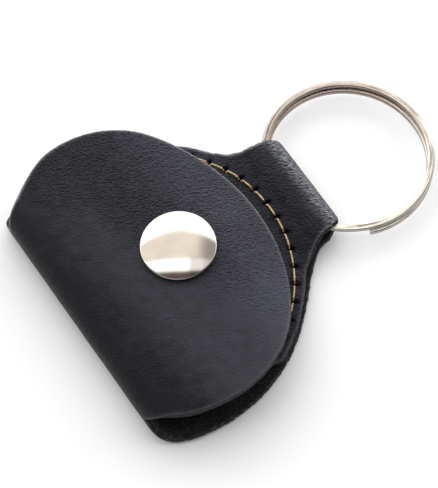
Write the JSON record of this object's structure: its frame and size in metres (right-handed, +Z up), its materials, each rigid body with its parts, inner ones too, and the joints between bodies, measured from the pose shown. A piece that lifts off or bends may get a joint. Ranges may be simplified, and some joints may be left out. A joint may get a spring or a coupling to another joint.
{
  "type": "guitar pick holder",
  "caption": "Flat leather pick case on a key ring: a snap flap folds over a stitched half-round pocket, and the neck loops round a split ring.",
  "frame": {"origin": "on the surface the holder lies on, under the middle of its box", "axes": "+X from the flap's fold to the key ring, +Y across the holder, +Z up out of the flap"},
  "size_m": [0.0698, 0.054, 0.0093],
  "materials": {
    "leather": "satin pebbled grain, semi-gloss on the folds",
    "thread": "waxed twisted thread",
    "nickel_cap": "polished nickel",
    "nickel_snap": "nickel plate",
    "nickel_ring": "polished nickel with faint wear",
    "snap_steel": "plain plated steel"
  },
  "bodies": {
    "holder": {"back_panel": "leather", "fold_at_back": "leather", "pocket_panel": "leather", "key_loop": "leather", "pocket_thread": "thread", "back_thread": "thread", "snap_stud": "nickel_snap", "stud_post": "snap_steel"},
    "bend_low": {"fold_low": "leather"},
    "bend_high": {"fold_high": "leather"},
    "flap": {"flap_panel": "leather", "fold_at_flap": "leather", "snap_cap": "nickel_cap", "cap_post": "snap_steel", "snap_socket": "nickel_snap", "socket_spring": "snap_steel"},
    "ring": {"split_ring": "nickel_ring"}
  },
  "joints": [
    {"name": "flap_hinge", "type": "hinge", "parent": "holder", "child": "bend_low", "pos_m": [-0.0327, 0, 0.00114], "axis": [0, -1, 0], "range_deg": [0, 56], "deforming": ["fold_at_back", "fold_low", "fold_high", "fold_at_flap"]},
    {"name": "fold_mid_bend", "type": "hinge", "parent": "bend_low", "child": "bend_high", "pos_m": [-0.03415, 0, 0.00365], "axis": [0, -1, 0], "range_deg": [0, 56], "deforming": ["fold_at_back", "fold_low", "fold_high", "fold_at_flap"]},
    {"name": "fold_top_bend", "type": "hinge", "parent": "bend_high", "child": "flap", "pos_m": [-0.0327, 0, 0.00616], "axis": [0, -1, 0], "range_deg": [0, 56], "deforming": ["fold_at_back", "fold_low", "fold_high", "fold_at_flap", "socket_spring"]},
    {"name": "ring_swing", "type": "hinge", "parent": "holder", "child": "ring", "pos_m": [0.0072, 0, 0.00285], "axis": [0, -1, 0], "range_deg": [-70, 70], "deforming": ["key_loop"]}
  ],
  "couplings": [
    {"joint": "fold_mid_bend", "follows": "flap_hinge", "ratio": 1},
    {"joint": "fold_top_bend", "follows": "flap_hinge", "ratio": 1}
  ]
}
